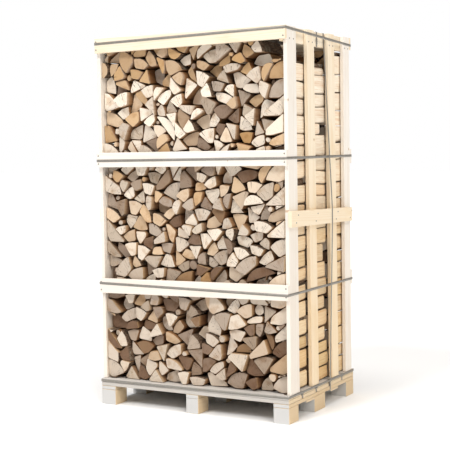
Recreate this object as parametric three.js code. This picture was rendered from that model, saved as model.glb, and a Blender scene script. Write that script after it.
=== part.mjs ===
// A tall crate of split firewood: three rows of 25 cm logs, stacked nearly two metres high between
// sawn boards, on a nine-block pallet, and bound with steel strapping.
// Millimetres, +Z up, the front towards -Y, the origin on the ground under the middle of the crate.

import * as THREE from 'three';

// ---- Driving dimensions ------------------------------------------------------------------------

const WIDTH = 1150; // outside of the posts, left to right
const DEPTH = 830; // outside of the rails, front to back
const HEIGHT = 2000; // ground to the top of the posts
const GAP = 0.3; // air between two pieces that touch
const CHAMFER = 1; // broken edge of a sawn board

const PALLET_BOARD = 20; // thickness of every pallet board
const CRATE_BOARD = 22; // thickness of every crate board

const BLOCK_HEIGHT = 82;
const UNDER_BOARD_THICKNESS = 12;
const DECK_BOARDS = 5;
const DECK_BOARD_WIDTH = 150;
const FLOOR_BOARD_WIDTH = 140;

const FRONT_POST_WIDTH = 105;
const BACK_POST_WIDTH = 80;
const SLAT_WIDTH = 85;
const SLAT_LEAN = 22; // how much nearer the front a slat's top is than its foot
const LID_BOARD_WIDTH = 240;

const STRAP_WIDTH = 13;
const STRAP_THICKNESS = 0.8;

const LOG_ROWS = ['front', 'middle', 'back'];
const LOG_TIERS = ['bottom', 'middle', 'top'];
const LOG_LENGTH = 255;
const LOG_ROW_PITCH = 260;
const SIDE_CLEARANCE = 3; // between the logs and the side boards

// ---- Levels and faces worked out from them -----------------------------------------------------

const HALF_WIDTH = WIDTH / 2;
const HALF_DEPTH = DEPTH / 2;
const STRINGER_LEVEL = BLOCK_HEIGHT + GAP;
const DECK_LEVEL = BLOCK_HEIGHT + PALLET_BOARD + GAP;
const FLOOR_LEVEL = BLOCK_HEIGHT + 2 * PALLET_BOARD + GAP;
const FLOOR_TOP = BLOCK_HEIGHT + 3 * PALLET_BOARD;
const POST_FOOT = FLOOR_TOP + GAP;
const POST_INSIDE = HALF_WIDTH - CRATE_BOARD; // x of the inner face of the posts and slats
const RAIL_INSIDE = HALF_DEPTH - CRATE_BOARD; // y of the inner face of the front and back boards

const SIDE_TOP_BOARD_FOOT = 1922;
const UPPER_RAIL = { foot: 1304, height: 80, rise: 0 };
const LOWER_RAIL = { foot: 616, height: 80, rise: 11 }; // its right end is nailed on a little high

// The three pieces of each pallet layer, as [name, low side, high side].
const BLOCK_COLUMNS = [['left', -575, -483], ['middle', -33, 42], ['right', 485, 575]];
const BLOCK_ROWS = [['front', -415, -305], ['middle', -109, 26], ['back', 313, 415]];
const UNDER_BOARDS = [['front', -208, -109 - GAP], ['back', 102, 200]];

// ---- Finishes ----------------------------------------------------------------------------------

const wood = (colour) => new THREE.MeshStandardMaterial({ color: colour, roughness: 0.85, metalness: 0 });
const steel = () => new THREE.MeshStandardMaterial({ color: '#7d7a74', roughness: 0.45, metalness: 0.9 });
const PALE_PINE = '#f0e2c6';
const PALLET_PINE = '#e6d9c2';
const SPLIT_WOOD = '#d8bd97';

const crate = new THREE.Group();

// ---- Shapes ------------------------------------------------------------------------------------

// Where an outline's own two axes and its thickness point: FLAT lies on the ground, FRONT stands
// facing -Y with its thickness towards -Y, and SIDE stands facing +X with its thickness towards +X.
const axes = (u, v, w) => new THREE.Matrix4().makeBasis(
  new THREE.Vector3(...u), new THREE.Vector3(...v), new THREE.Vector3(...w));
const FLAT = axes([1, 0, 0], [0, 1, 0], [0, 0, 1]);
const FRONT = axes([1, 0, 0], [0, 0, 1], [0, -1, 0]);
const SIDE = axes([0, 1, 0], [0, 0, 1], [1, 0, 0]);

const toShape = (points) => new THREE.Shape(points.map(([u, v]) => new THREE.Vector2(u, v)));
const rectangle = (u0, u1, v0, v1) => [[u0, v0], [u1, v0], [u1, v1], [u0, v1]];

function addMesh(name, geometry, plane, material, position) {
  geometry.applyMatrix4(plane);
  const mesh = new THREE.Mesh(geometry, material);
  mesh.name = name;
  mesh.position.set(...position);
  crate.add(mesh);
  return mesh;
}

// A sawn board: its outline, cut from a plank of the given thickness, with every edge broken.
function addBoard(name, outline, thickness, plane, position, colour = PALE_PINE) {
  const geometry = new THREE.ExtrudeGeometry(toShape(outline), {
    depth: thickness - 2 * CHAMFER,
    bevelThickness: CHAMFER,
    bevelSize: CHAMFER,
    bevelOffset: -CHAMFER,
    bevelSegments: 1,
  });
  geometry.translate(0, 0, CHAMFER);
  return addMesh(name, geometry, plane, wood(colour), position);
}

// The outline of a convex loop moved outwards by a distance, corner by corner.
function movedOut(loop, distance) {
  const count = loop.length;
  const sideOf = (i) => {
    const [x0, y0] = loop[i % count];
    const [x1, y1] = loop[(i + 1) % count];
    const length = Math.hypot(x1 - x0, y1 - y0);
    const normal = [(y1 - y0) / length, -(x1 - x0) / length];
    return { normal, offset: normal[0] * x0 + normal[1] * y0 + distance };
  };
  return loop.map((_, i) => {
    const a = sideOf(i + count - 1);
    const b = sideOf(i);
    const cross = a.normal[0] * b.normal[1] - a.normal[1] * b.normal[0];
    const x = (a.offset * b.normal[1] - b.offset * a.normal[1]) / cross;
    const y = (a.normal[0] * b.offset - b.normal[0] * a.offset) / cross;
    return [x, y];
  });
}

// A closed loop of strapping, drawn tight round a convex loop of corners given anticlockwise.
function addStrap(name, loop, plane, position) {
  const inner = movedOut(loop, GAP);
  const shape = toShape(movedOut(inner, STRAP_THICKNESS));
  shape.holes.push(new THREE.Path(inner.map(([u, v]) => new THREE.Vector2(u, v))));
  const geometry = new THREE.ExtrudeGeometry(shape, { depth: STRAP_WIDTH, bevelEnabled: false });
  geometry.translate(0, 0, -STRAP_WIDTH / 2);
  return addMesh(name, geometry, plane, steel(), position);
}

// ---- Pallet: nine blocks, three stringers, two thin boards under them and the deck --------------

for (const [row, yLow, yHigh] of BLOCK_ROWS) {
  for (const [column, xLow, xHigh] of BLOCK_COLUMNS) {
    const outline = rectangle(xLow, xHigh, yLow, yHigh);
    addBoard(`block_${row}_${column}`, outline, BLOCK_HEIGHT, FLAT, [0, 0, 0], PALLET_PINE);
  }
}

for (const [column, xLow, xHigh] of BLOCK_COLUMNS) {
  const outline = rectangle(xLow, xHigh, -HALF_DEPTH, HALF_DEPTH);
  const thickness = PALLET_BOARD - GAP;
  addBoard(`stringer_${column}`, outline, thickness, FLAT, [0, 0, STRINGER_LEVEL], PALLET_PINE);
}

for (const [row, yLow, yHigh] of UNDER_BOARDS) {
  const outline = rectangle(-HALF_WIDTH, HALF_WIDTH, yLow, yHigh);
  const foot = BLOCK_HEIGHT - UNDER_BOARD_THICKNESS;
  addBoard(`under_board_${row}`, outline, UNDER_BOARD_THICKNESS, FLAT, [0, 0, foot], PALLET_PINE);
}

// The pallet's own deck, and on it the floor of the crate: the same boards at two widths.
function addLayer(name, boardWidth, level) {
  const pitch = (DEPTH - boardWidth) / (DECK_BOARDS - 1);
  for (let i = 0; i < DECK_BOARDS; i += 1) {
    const yLow = -HALF_DEPTH + i * pitch;
    const outline = rectangle(-HALF_WIDTH, HALF_WIDTH, yLow, yLow + boardWidth);
    addBoard(`${name}_${i + 1}`, outline, PALLET_BOARD - GAP, FLAT, [0, 0, level], PALLET_PINE);
  }
}

addLayer('deck_board', DECK_BOARD_WIDTH, DECK_LEVEL);
addLayer('floor_board', FLOOR_BOARD_WIDTH, FLOOR_LEVEL);

// ---- Crate sides: posts and slats in one plane, a board inside them and a board outside ---------

// The foot of each slat's front edge, measured from the front of the crate.
const SLATS = [['front', 280], ['back', 541]];
// The middle boards slope a little. The left one starts further back than the right one.
const MIDDLE_BOARD_SETBACK = { left: 50, right: 8 };
const middleBoardOutline = (setback) => [
  [-HALF_DEPTH + setback, 996], [HALF_DEPTH - 48, 985], [HALF_DEPTH - 48, 1061],
  [-HALF_DEPTH + setback, 1078],
];

for (const [side, sign] of [['left', -1], ['right', 1]]) {
  // A board whose thickness starts at the given distance from the middle of the crate.
  const sideBoard = (name, outline, inside) => {
    const x = sign > 0 ? inside : -inside - CRATE_BOARD + GAP;
    addBoard(`${name}_${side}`, outline, CRATE_BOARD - GAP, SIDE, [x, 0, 0]);
  };
  const frontEdge = -RAIL_INSIDE + GAP;
  const backEdge = RAIL_INSIDE - GAP;
  sideBoard('post_front', rectangle(frontEdge, frontEdge + FRONT_POST_WIDTH, POST_FOOT, HEIGHT), POST_INSIDE);
  sideBoard('post_back', rectangle(backEdge - BACK_POST_WIDTH, backEdge, POST_FOOT, HEIGHT), POST_INSIDE);
  for (const [row, foot] of SLATS) {
    const low = foot - HALF_DEPTH;
    const high = low - SLAT_LEAN;
    const outline = [
      [low, POST_FOOT], [low + SLAT_WIDTH, POST_FOOT], [high + SLAT_WIDTH, HEIGHT], [high, HEIGHT],
    ];
    sideBoard(`slat_${row}`, outline, POST_INSIDE);
  }
  const topOutline = rectangle(frontEdge, backEdge, SIDE_TOP_BOARD_FOOT, HEIGHT);
  sideBoard('side_top_board', topOutline, POST_INSIDE - CRATE_BOARD);
  sideBoard('side_middle_board', middleBoardOutline(MIDDLE_BOARD_SETBACK[side]), HALF_WIDTH + GAP);
}

// ---- Crate front and back: a top board and two rails, nailed over the edges of the posts --------

const TOP_BOARD_OUTLINE = [
  [-HALF_WIDTH, 1920], [HALF_WIDTH, 1932], [HALF_WIDTH, HEIGHT], [-HALF_WIDTH, HEIGHT],
];
const railOutline = ({ foot, height, rise }) => [
  [-HALF_WIDTH, foot], [HALF_WIDTH, foot + rise], [HALF_WIDTH, foot + rise + height],
  [-HALF_WIDTH, foot + height],
];

for (const [face, y] of [['front', -RAIL_INSIDE], ['back', HALF_DEPTH]]) {
  addBoard(`top_board_${face}`, TOP_BOARD_OUTLINE, CRATE_BOARD, FRONT, [0, y, 0]);
  addBoard(`upper_rail_${face}`, railOutline(UPPER_RAIL), CRATE_BOARD, FRONT, [0, y, 0]);
  addBoard(`lower_rail_${face}`, railOutline(LOWER_RAIL), CRATE_BOARD, FRONT, [0, y, 0]);
}

// ---- Three wide boards that close the top and hold the sides together ----------------------------

const LID_HALF_LENGTH = POST_INSIDE - CRATE_BOARD - GAP;
const LID_BOARDS = [['front', -257], ['middle', 0], ['back', 257]];

for (const [row, y] of LID_BOARDS) {
  const half = LID_BOARD_WIDTH / 2;
  const outline = rectangle(-LID_HALF_LENGTH, LID_HALF_LENGTH, y - half, y + half);
  addBoard(`cross_board_${row}`, outline, PALLET_BOARD, FLAT, [0, 0, HEIGHT - PALLET_BOARD]);
}

// ---- Strapping ----------------------------------------------------------------------------------

// Four level bands. Each lies at its own height, and a band drawn by hand runs a little out of level.
const BANDS = [
  { name: 'strap_top', level: 1964, riseAlongX: 18, riseAlongY: -32, slack: 0 },
  { name: 'strap_upper', level: 1343, riseAlongX: 3, riseAlongY: 4, slack: 0 },
  { name: 'strap_lower', level: 664, riseAlongX: -16, riseAlongY: 3, slack: 0 },
  { name: 'strap_base', level: 133, riseAlongX: 7, riseAlongY: -3, slack: 1.3 },
];

for (const { name, level, riseAlongX, riseAlongY, slack } of BANDS) {
  const x = HALF_WIDTH + slack;
  const y = HALF_DEPTH + slack;
  const band = addStrap(name, rectangle(-x, x, -y, y), FLAT, [0, 0, level]);
  const slope = new THREE.Matrix4();
  slope.elements[2] = riseAlongX / WIDTH;
  slope.elements[6] = riseAlongY / DEPTH;
  band.geometry.applyMatrix4(slope);
}

// One band goes over the top, down close beside the back slats and back under the stringers.
const OVER_TOP_STRAP_Y = 92;
const rightHalf = [
  [HALF_WIDTH, STRINGER_LEVEL], [HALF_WIDTH, FLOOR_TOP], [HALF_WIDTH + CRATE_BOARD, 988],
  [HALF_WIDTH + CRATE_BOARD, 1072], [POST_INSIDE, HEIGHT],
];
const leftHalf = rightHalf.map(([x, z]) => [-x, z]).reverse();
addStrap('strap_over_top', [...rightHalf, ...leftHalf], FRONT, [0, OVER_TOP_STRAP_Y, 0]);

// A short tie runs across the top and round the two side top boards.
const TIE_STRAP_Y = 6;
const tieLoop = rectangle(-POST_INSIDE, POST_INSIDE, SIDE_TOP_BOARD_FOOT, HEIGHT);
addStrap('strap_tie', tieLoop, FRONT, [0, TIE_STRAP_Y, 0]);

// ---- Firewood: each tier of each row as the closed block that its logs fill ---------------------

const LOG_HALF_WIDTH = POST_INSIDE - SIDE_CLEARANCE;
const TIER_LEVELS = [FLOOR_TOP + 1, 660, 1344, SIDE_TOP_BOARD_FOOT - 6];
const TIER_GAP = 2;

// The front row is stacked up behind the top board, between the two side top boards.
const FRONT_ROW_EXTRA = 32;
const heapedOutline = (foot, shoulder) => {
  const heap = POST_INSIDE - CRATE_BOARD - SIDE_CLEARANCE;
  const top = shoulder + FRONT_ROW_EXTRA;
  return [
    [-LOG_HALF_WIDTH, foot], [LOG_HALF_WIDTH, foot], [LOG_HALF_WIDTH, shoulder], [heap, shoulder],
    [heap, top], [-heap, top], [-heap, shoulder], [-LOG_HALF_WIDTH, shoulder],
  ];
};

LOG_TIERS.forEach((tier, level) => {
  LOG_ROWS.forEach((row, place) => {
    const y = (place - 1) * LOG_ROW_PITCH + LOG_LENGTH / 2;
    const foot = TIER_LEVELS[level];
    const top = TIER_LEVELS[level + 1] - TIER_GAP;
    const heaped = tier === 'top' && row === 'front';
    const outline = heaped
      ? heapedOutline(foot, top)
      : rectangle(-LOG_HALF_WIDTH, LOG_HALF_WIDTH, foot, top);
    addBoard(`logs_${tier}_${row}`, outline, LOG_LENGTH, FRONT, [0, y, 0], SPLIT_WOOD);
  });
});

export default crate;
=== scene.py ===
# %% [markdown]
# # A crate of split firewood
#
# Nearly thirteen hundred split logs and sticks lie in three rows behind each other in a tall crate
# of thin pine boards. The crate is built on a nine-block pallet and bound with flat steel strapping.
# This lesson dresses the crate's construction model: every board is sawn again with a real surface,
# the logs are split and stacked one by one, and straps, seals and nails are laid on.

# %% Load the construction model
import math

import bpy
import numpy as np
from mathutils import Matrix, Vector


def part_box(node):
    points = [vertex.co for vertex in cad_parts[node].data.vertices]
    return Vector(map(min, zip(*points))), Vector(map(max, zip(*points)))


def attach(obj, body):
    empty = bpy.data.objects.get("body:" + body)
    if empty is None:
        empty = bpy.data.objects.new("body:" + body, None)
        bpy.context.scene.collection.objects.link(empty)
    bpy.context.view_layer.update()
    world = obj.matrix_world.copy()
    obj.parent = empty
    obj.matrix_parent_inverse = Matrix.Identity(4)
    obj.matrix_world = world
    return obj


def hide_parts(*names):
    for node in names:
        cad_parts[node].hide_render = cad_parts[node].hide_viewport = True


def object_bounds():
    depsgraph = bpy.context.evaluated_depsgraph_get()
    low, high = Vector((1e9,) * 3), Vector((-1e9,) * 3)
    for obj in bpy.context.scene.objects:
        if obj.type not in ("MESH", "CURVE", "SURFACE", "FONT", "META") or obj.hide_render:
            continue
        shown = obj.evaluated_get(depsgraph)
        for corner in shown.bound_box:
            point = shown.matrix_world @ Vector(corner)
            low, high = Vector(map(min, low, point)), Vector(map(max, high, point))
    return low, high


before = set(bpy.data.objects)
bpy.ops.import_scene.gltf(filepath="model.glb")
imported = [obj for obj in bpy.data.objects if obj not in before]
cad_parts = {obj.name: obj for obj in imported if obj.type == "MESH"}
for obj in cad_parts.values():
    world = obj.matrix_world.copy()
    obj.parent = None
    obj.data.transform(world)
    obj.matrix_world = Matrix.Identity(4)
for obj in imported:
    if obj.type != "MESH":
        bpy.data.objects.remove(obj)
CAD_LOW, CAD_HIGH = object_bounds()
MM = 0.001
crate_size = [round(x, 3) for x in CAD_HIGH - CAD_LOW]
print("construction model:", len(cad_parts), "pieces,", crate_size, "m")

# %% [markdown]
# ## Camera
#
# The crate is seen from the front right, at about the height of its upper rail, so that the front
# shows wide and the side narrow. The camera is turned a touch about its own axis, as a hand-held one
# is.

# %% Camera
VIEW_FROM = Vector((3.039, -5.456, 1.376))
VIEW_YAW = math.radians(29.21)
VIEW_PITCH = math.radians(-3.69)
VIEW_ROLL = math.radians(-0.88)
VIEW_LENS = 90.2


def add_object(name, data):
    """A new object in the scene"""
    made = bpy.data.objects.new(name, data)
    bpy.context.scene.collection.objects.link(made)
    return made


def aimed(yaw, pitch, roll):
    """The turn of a camera that looks along +Y, then swings left, lifts and tilts by these angles"""
    level = Matrix.Rotation(yaw, 4, "Z") @ Matrix.Rotation(math.pi / 2 + pitch, 4, "X")
    return level @ Matrix.Rotation(roll, 4, "Z")


camera = add_object("camera", bpy.data.cameras.new("camera"))
camera.data.lens = VIEW_LENS
camera.data.sensor_width = 36
camera.data.clip_end = 100
camera.matrix_world = Matrix.Translation(VIEW_FROM) @ aimed(VIEW_YAW, VIEW_PITCH, VIEW_ROLL)
bpy.context.scene.camera = camera
print("camera at", [round(x, 2) for x in VIEW_FROM])

# %% [markdown]
# ## Floor and light
#
# The crate stands in a white studio. Its light comes from afar, so each lamp is a sun with a wide
# disc: it falls evenly, as from a large soft box, and its shadows have soft edges. The front lamp
# stands to the left and gives the logs their shadows. The side lamp lights the right side and is a
# touch warmer. The overhead lamp hangs almost straight above, where it whitens the floor and hardly
# touches the upright faces. The surround looks white to the camera but lights the crate only a
# little, which keeps the gaps between the logs and the space under the pallet dark. The floor is a
# plain pale plane.

# %% Floor, surround and lamps
SURROUND_SEEN = 1.0
SURROUND_LIGHT = 0.12
FLOOR_HALF = 60.0


def new_material(name):
    """A new material and its Principled shader"""
    material = bpy.data.materials.new(name)
    material.use_nodes = True
    return material, material.node_tree.nodes["Principled BSDF"]


def plain_floor():
    mesh = bpy.data.meshes.new("floor")
    corners = [(-FLOOR_HALF, -FLOOR_HALF, 0), (FLOOR_HALF, -FLOOR_HALF, 0),
               (FLOOR_HALF, FLOOR_HALF, 0), (-FLOOR_HALF, FLOOR_HALF, 0)]
    mesh.from_pydata(corners, [], [(0, 1, 2, 3)])
    floor = add_object("floor", mesh)
    material, shader = new_material("pale floor")
    shader.inputs["Base Color"].default_value = (0.90, 0.90, 0.90, 1)
    shader.inputs["Roughness"].default_value = 0.9
    shader.inputs["Specular IOR Level"].default_value = 0.2
    mesh.materials.append(material)


def soft_sun(name, azimuth, elevation, disc, strength, tint):
    """A distant lamp: azimuth 0 is in front, positive to the right; the disc sets the softness"""
    lamp = bpy.data.lights.new(name, "SUN")
    lamp.color = tint
    lamp.angle = math.radians(disc)
    lamp.energy = strength
    holder = add_object(name, lamp)
    a, e = math.radians(azimuth), math.radians(elevation)
    towards = Vector((math.sin(a) * math.cos(e), -math.cos(a) * math.cos(e), math.sin(e)))
    holder.matrix_world = towards.to_track_quat("Z", "Y").to_matrix().to_4x4()


def white_surround():
    world = bpy.data.worlds.new("white surround")
    world.use_nodes = True
    nodes, links = world.node_tree.nodes, world.node_tree.links
    seen = nodes.new("ShaderNodeBackground")
    seen.inputs["Color"].default_value = (1, 1, 1, 1)
    seen.inputs["Strength"].default_value = SURROUND_SEEN
    nodes["Background"].inputs["Color"].default_value = (1, 1, 1, 1)
    nodes["Background"].inputs["Strength"].default_value = SURROUND_LIGHT
    mix = nodes.new("ShaderNodeMixShader")
    links.new(nodes.new("ShaderNodeLightPath").outputs["Is Camera Ray"], mix.inputs["Fac"])
    links.new(nodes["Background"].outputs["Background"], mix.inputs[1])
    links.new(seen.outputs["Background"], mix.inputs[2])
    links.new(mix.outputs["Shader"], nodes["World Output"].inputs["Surface"])
    bpy.context.scene.world = world


plain_floor()
white_surround()
soft_sun("front lamp", -16, 46, 14, 1.52, (0.98, 0.99, 1.0))
soft_sun("side lamp", 55, 38, 30, 1.74, (1.0, 0.94, 0.86))
soft_sun("overhead lamp", 0, 86, 40, 2.1, (1.0, 1.0, 1.0))
bpy.context.scene.view_settings.view_transform = "Standard"
print("surround", SURROUND_LIGHT, "and three soft lamps")

# %% [markdown]
# ## Node trees as arithmetic
#
# Wood patterns are sums and products of a few noises. A small class wraps a socket, so that
# `rings * 0.5 + noise` adds its Math nodes by itself. The same class serves the materials and the
# Geometry Nodes trees, because both use the same maths nodes.

# %% A socket that can be added and multiplied
class Value:
    """One output of a node. Arithmetic on it adds a Math node and gives that node's output."""

    def __init__(self, graph, socket):
        self.graph = graph
        self.socket = socket

    def math(self, operation, *values):
        return self.graph.node("ShaderNodeMath", {"operation": operation}, dict(enumerate(values)))

    def apply(self, operation, *others):
        """Any other Math operation, such as SINE or ABSOLUTE"""
        return self.math(operation, self, *others)

    def fade(self, start, end):
        """0 before start, 1 after end, and smooth in between; start may be the larger"""
        low, high, first, last = (start, end, 0, 1) if start < end else (end, start, 1, 0)
        return self.graph.node("ShaderNodeMapRange", {"interpolation_type": "SMOOTHSTEP"}, {
            "Value": self, "From Min": low, "From Max": high, "To Min": first, "To Max": last})

    def output(self, name):
        """Another output of the same node"""
        return Value(self.graph, self.socket.node.outputs[name])


def operator(operation, reflected):
    """The Python method for one arithmetic sign, or for its reflected form, as in 1 - mask"""
    def method(self, other):
        return self.math(operation, *((other, self) if reflected else (self, other)))
    return method


for sign, operation in (("add", "ADD"), ("sub", "SUBTRACT"), ("mul", "MULTIPLY"),
                        ("truediv", "DIVIDE"), ("pow", "POWER")):
    setattr(Value, f"__{sign}__", operator(operation, False))
    setattr(Value, f"__r{sign}__", operator(operation, True))


# %% A graph that makes the nodes
class Graph:
    """A node tree that is filled through one method"""

    def __init__(self, tree):
        self.tree = tree

    def node(self, kind, settings=None, inputs=None):
        """Adds a node: its type, its settings, then the values or links of its sockets"""
        made = self.tree.nodes.new(kind)
        for name, value in (settings or {}).items():
            setattr(made, name, value)
        for key, value in (inputs or {}).items():
            if isinstance(value, Value):
                self.tree.links.new(value.socket, made.inputs[key])
            else:
                made.inputs[key].default_value = value
        return Value(self, next((s for s in made.outputs if s.enabled), None))

    def vector(self, operation, a, b=None, scale=None):
        inputs = {0: a}
        if b is not None:
            inputs[1] = b
        if scale is not None:
            inputs["Scale"] = scale
        return self.node("ShaderNodeVectorMath", {"operation": operation}, inputs)

    def split(self, vector):
        """The x, y and z of a vector"""
        x = self.node("ShaderNodeSeparateXYZ", None, {0: vector})
        return x, x.output("Y"), x.output("Z")

    def join(self, x, y, z):
        return self.node("ShaderNodeCombineXYZ", None, {0: x, 1: y, 2: z})

    def noise(self, vector, scale, detail=2.0, roughness=0.5, distortion=0.0):
        return self.node("ShaderNodeTexNoise", None, {
            "Vector": vector, "Scale": scale, "Detail": detail, "Roughness": roughness,
            "Distortion": distortion})

    def blend(self, factor, a, b, kind="MIX"):
        """Mixes two colours; one that doesn't vary is written as RRGGBB"""
        a, b = (colour(c) if isinstance(c, str) else c for c in (a, b))
        return self.node("ShaderNodeMix", {"data_type": "RGBA", "blend_type": kind}, {
            0: factor, 6: a, 7: b})

    def tinge(self, mask, base, code):
        """Darkens a colour by another one where the mask is"""
        return self.blend(mask, base, self.blend(1.0, base, code, "MULTIPLY"))

    def attribute(self, name, output="Fac"):
        """What each point or face of the piece carries under a name"""
        return self.node("ShaderNodeAttribute", {"attribute_name": name}).output(output)


def colour(code):
    """A colour written as RRGGBB, as the linear values that Blender works in"""
    def linear(c):
        return c / 12.92 if c <= 0.04045 else ((c + 0.055) / 1.055) ** 2.4

    return tuple(linear(int(code[i:i + 2], 16) / 255) for i in (0, 2, 4)) + (1.0,)


# %% From a graph to a finish
def new_finish(name):
    """A new material and the graph of its node tree"""
    material, _ = new_material(name)
    return material, Graph(material.node_tree)


def dressed(material, g, tint, rough, relief, strength, depth, specular=0.5, metallic=None):
    """Leads colour, roughness, relief and metal to a material's shader"""
    shader = material.node_tree.nodes["Principled BSDF"]
    bump = g.node("ShaderNodeBump", None, {
        "Strength": strength, "Distance": depth, "Height": relief})
    ends = {"Base Color": tint, "Roughness": rough, "Normal": bump, "Metallic": metallic}
    for name, value in ends.items():
        if value is not None:
            g.tree.links.new(value.socket, shader.inputs[name])
    shader.inputs["Specular IOR Level"].default_value = specular
    return material


print("socket arithmetic ready")

# %% [markdown]
# ## Pine boards
#
# The crate's boards are fresh sawn pine: almost white, with faint yellow growth lines along the
# board, brown knots that the lines flow around, and saw marks across. The pattern is worked out in
# the board's own measure, length first, which each board carries as the attribute "grain". The lines
# are the growth rings of a trunk whose heart lies a little outside the board. One recipe gives five
# finishes: pale front boards, yellower side boards, a greyed pallet deck with fresh ends, pallet
# blocks with greyed ends, and lid boards painted dark as the shade under a closed top.

# %% Material of a sawn board
KNOT_CELL = (0.30, 0.11)  # metres of board along and across for each chance of a knot
RINGS_PER_METRE = 1300.0
SAW_MARKS = 1500.0


def pine(name, pale, line, knot, stain, staining, end_pale=None, end_line=None):
    """Sawn pine: the pale wood, its growth lines, its knots, a stain in patches, and a darker, warmer
    tint towards the floor
    """
    material, g = new_finish(name)
    grain = g.attribute("grain", "Vector")
    length, width, depth = g.split(grain)
    warp = g.noise(g.vector("MULTIPLY", grain, (1.2, 5.0, 5.0)), 1.0, 2.0) - 0.5

    # Knots: one chance in each cell of a loose lattice, and only some cells have one.
    cells = (1 / KNOT_CELL[0], 1 / KNOT_CELL[1], 1.0)
    cell = g.vector("MULTIPLY", g.join(length, width, 0.0), cells)
    lattice = g.node("ShaderNodeTexVoronoi", {"voronoi_dimensions": "2D"}, {
        "Vector": cell, "Scale": 1.0, "Randomness": 0.9})
    offset = g.vector("SUBTRACT", cell, lattice.output("Position"))
    offset = g.vector("MULTIPLY", offset, (*KNOT_CELL, 0.0))
    chance, size, _ = g.split(lattice.output("Color"))
    reach = g.vector("LENGTH", offset).output("Value") + warp * 0.004
    present = chance.fade(0.68, 0.69)
    radius = size * 0.005 + 0.003
    core = (reach / radius).fade(1.15, 0.85) * present
    collar = (reach / radius).fade(2.4, 1.0) * present

    # Growth lines: rings round the heart, pushed aside by the knots.
    heart = g.join(0.0, width + 0.02 + warp * 0.03, depth + 0.09)
    heart = g.vector("LENGTH", heart).output("Value")
    rings = (heart + length * 0.006 + collar * 0.004) * RINGS_PER_METRE
    band = rings.apply("SINE") * 0.5 + 0.5
    fibre = g.noise(g.vector("MULTIPLY", grain, (6.0, 420.0, 420.0)), 1.0, 3.0, 0.6)
    lines = (band ** 2.0) * 0.55 + fibre * 0.45
    wood = g.blend(lines * 0.62, pale, line)
    cloud = g.noise(g.vector("MULTIPLY", grain, (3.0, 9.0, 9.0)), 1.0, 3.0, 0.6)
    wood = g.blend(cloud.fade(0.50, 0.78) * staining, wood, stain)
    # a darker, warmer tint, the stain's colour, mixed in more towards the floor
    height_above_ground = g.split(g.node("ShaderNodeTexCoord").output("Object"))[2]
    wood = g.blend(height_above_ground.fade(1.6, 0.4) * staining * 0.9, wood, stain)
    wood = g.blend(collar * 0.35, wood, line)
    wood = g.blend(core * 0.7, wood, knot)

    # Sawn ends show the rings across, and weather to another tint than the faces.
    end = g.attribute("end")
    pores = g.noise(grain, 900.0, 2.0)
    end_wood = g.blend(band * 0.35 + pores * 0.35, end_pale or pale, end_line or line)
    wood = g.blend(end, wood, end_wood if end_pale else g.blend(0.22, end_wood, stain))

    # Saw marks stand across the board, a few millimetres apart.
    saw = (length * SAW_MARKS + warp * 40.0).apply("SINE")
    relief = fibre * 0.5 + saw * 0.12 + band * 0.2 + core * 0.5
    return dressed(material, g, wood, fibre * 0.18 + 0.66, relief, 0.35, 0.6 * MM, 0.25)


# Each finish: wood, growth lines, knots, stain, how much stain, and sawn ends where they differ
PINES = {name: pine(f"{name} pine", *tints) for name, tints in {
    "crate": ("F6EAD6", "EAD4B0", "A97C54", "E8CCA2", 0.5),
    "front": ("F5F0E9", "E6DACB", "BE9A76", "E2D5C6", 0.4),
    "pallet": ("C8C6C4", "B4B0AA", "8E6A4C", "BDB3A6", 0.4, "E8D6B8", "C8AA82"),
    "block": ("E8D7BA", "D0B48C", "8E6A4C", "CDB18A", 0.5, "CCCBCA", "C1BFBB"),
    # lid: painted shade, a dark wood that stands for the shade under the crate's top
    "lid": ("9A8D7C", "857664", "5A4433", "8A7A64", 0.5)}.items()}
print("pine materials:", [material.name for material in PINES.values()])

# %% [markdown]
# ## Sawing the boards
#
# Forty-five boards and blocks follow one rule: four corners, a thickness, and a surface that a saw
# left a little uneven. So one Geometry Nodes tree saws them all. It bends a finely divided block to
# the four corners, and lets every face sink in by up to a millimetre, never out, so that a board
# stays inside its place in the crate. A Bevel breaks the edges.

# %% The sawn board tree
def new_tree(name, inputs):
    """A Geometry Nodes tree with a geometry output and the named inputs"""
    tree = bpy.data.node_groups.new(name, "GeometryNodeTree")
    for label, kind in inputs:
        tree.interface.new_socket(label, in_out="INPUT", socket_type=f"NodeSocket{kind}")
    tree.interface.new_socket("Geometry", in_out="OUTPUT", socket_type="NodeSocketGeometry")
    graph = Graph(tree)
    entry = tree.nodes.new("NodeGroupInput")
    given = {label: Value(graph, entry.outputs[label]) for label, _ in inputs}
    return graph, given


def close_tree(graph, geometry, material):
    """Ends a tree: real geometry instead of instances, with its material"""
    real = graph.node("GeometryNodeRealizeInstances", None, {0: geometry})
    made = graph.node("GeometryNodeSetMaterial", None, {"Geometry": real, "Material": material})
    graph.node("NodeGroupOutput", None, {0: made})
    return graph.tree


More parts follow.
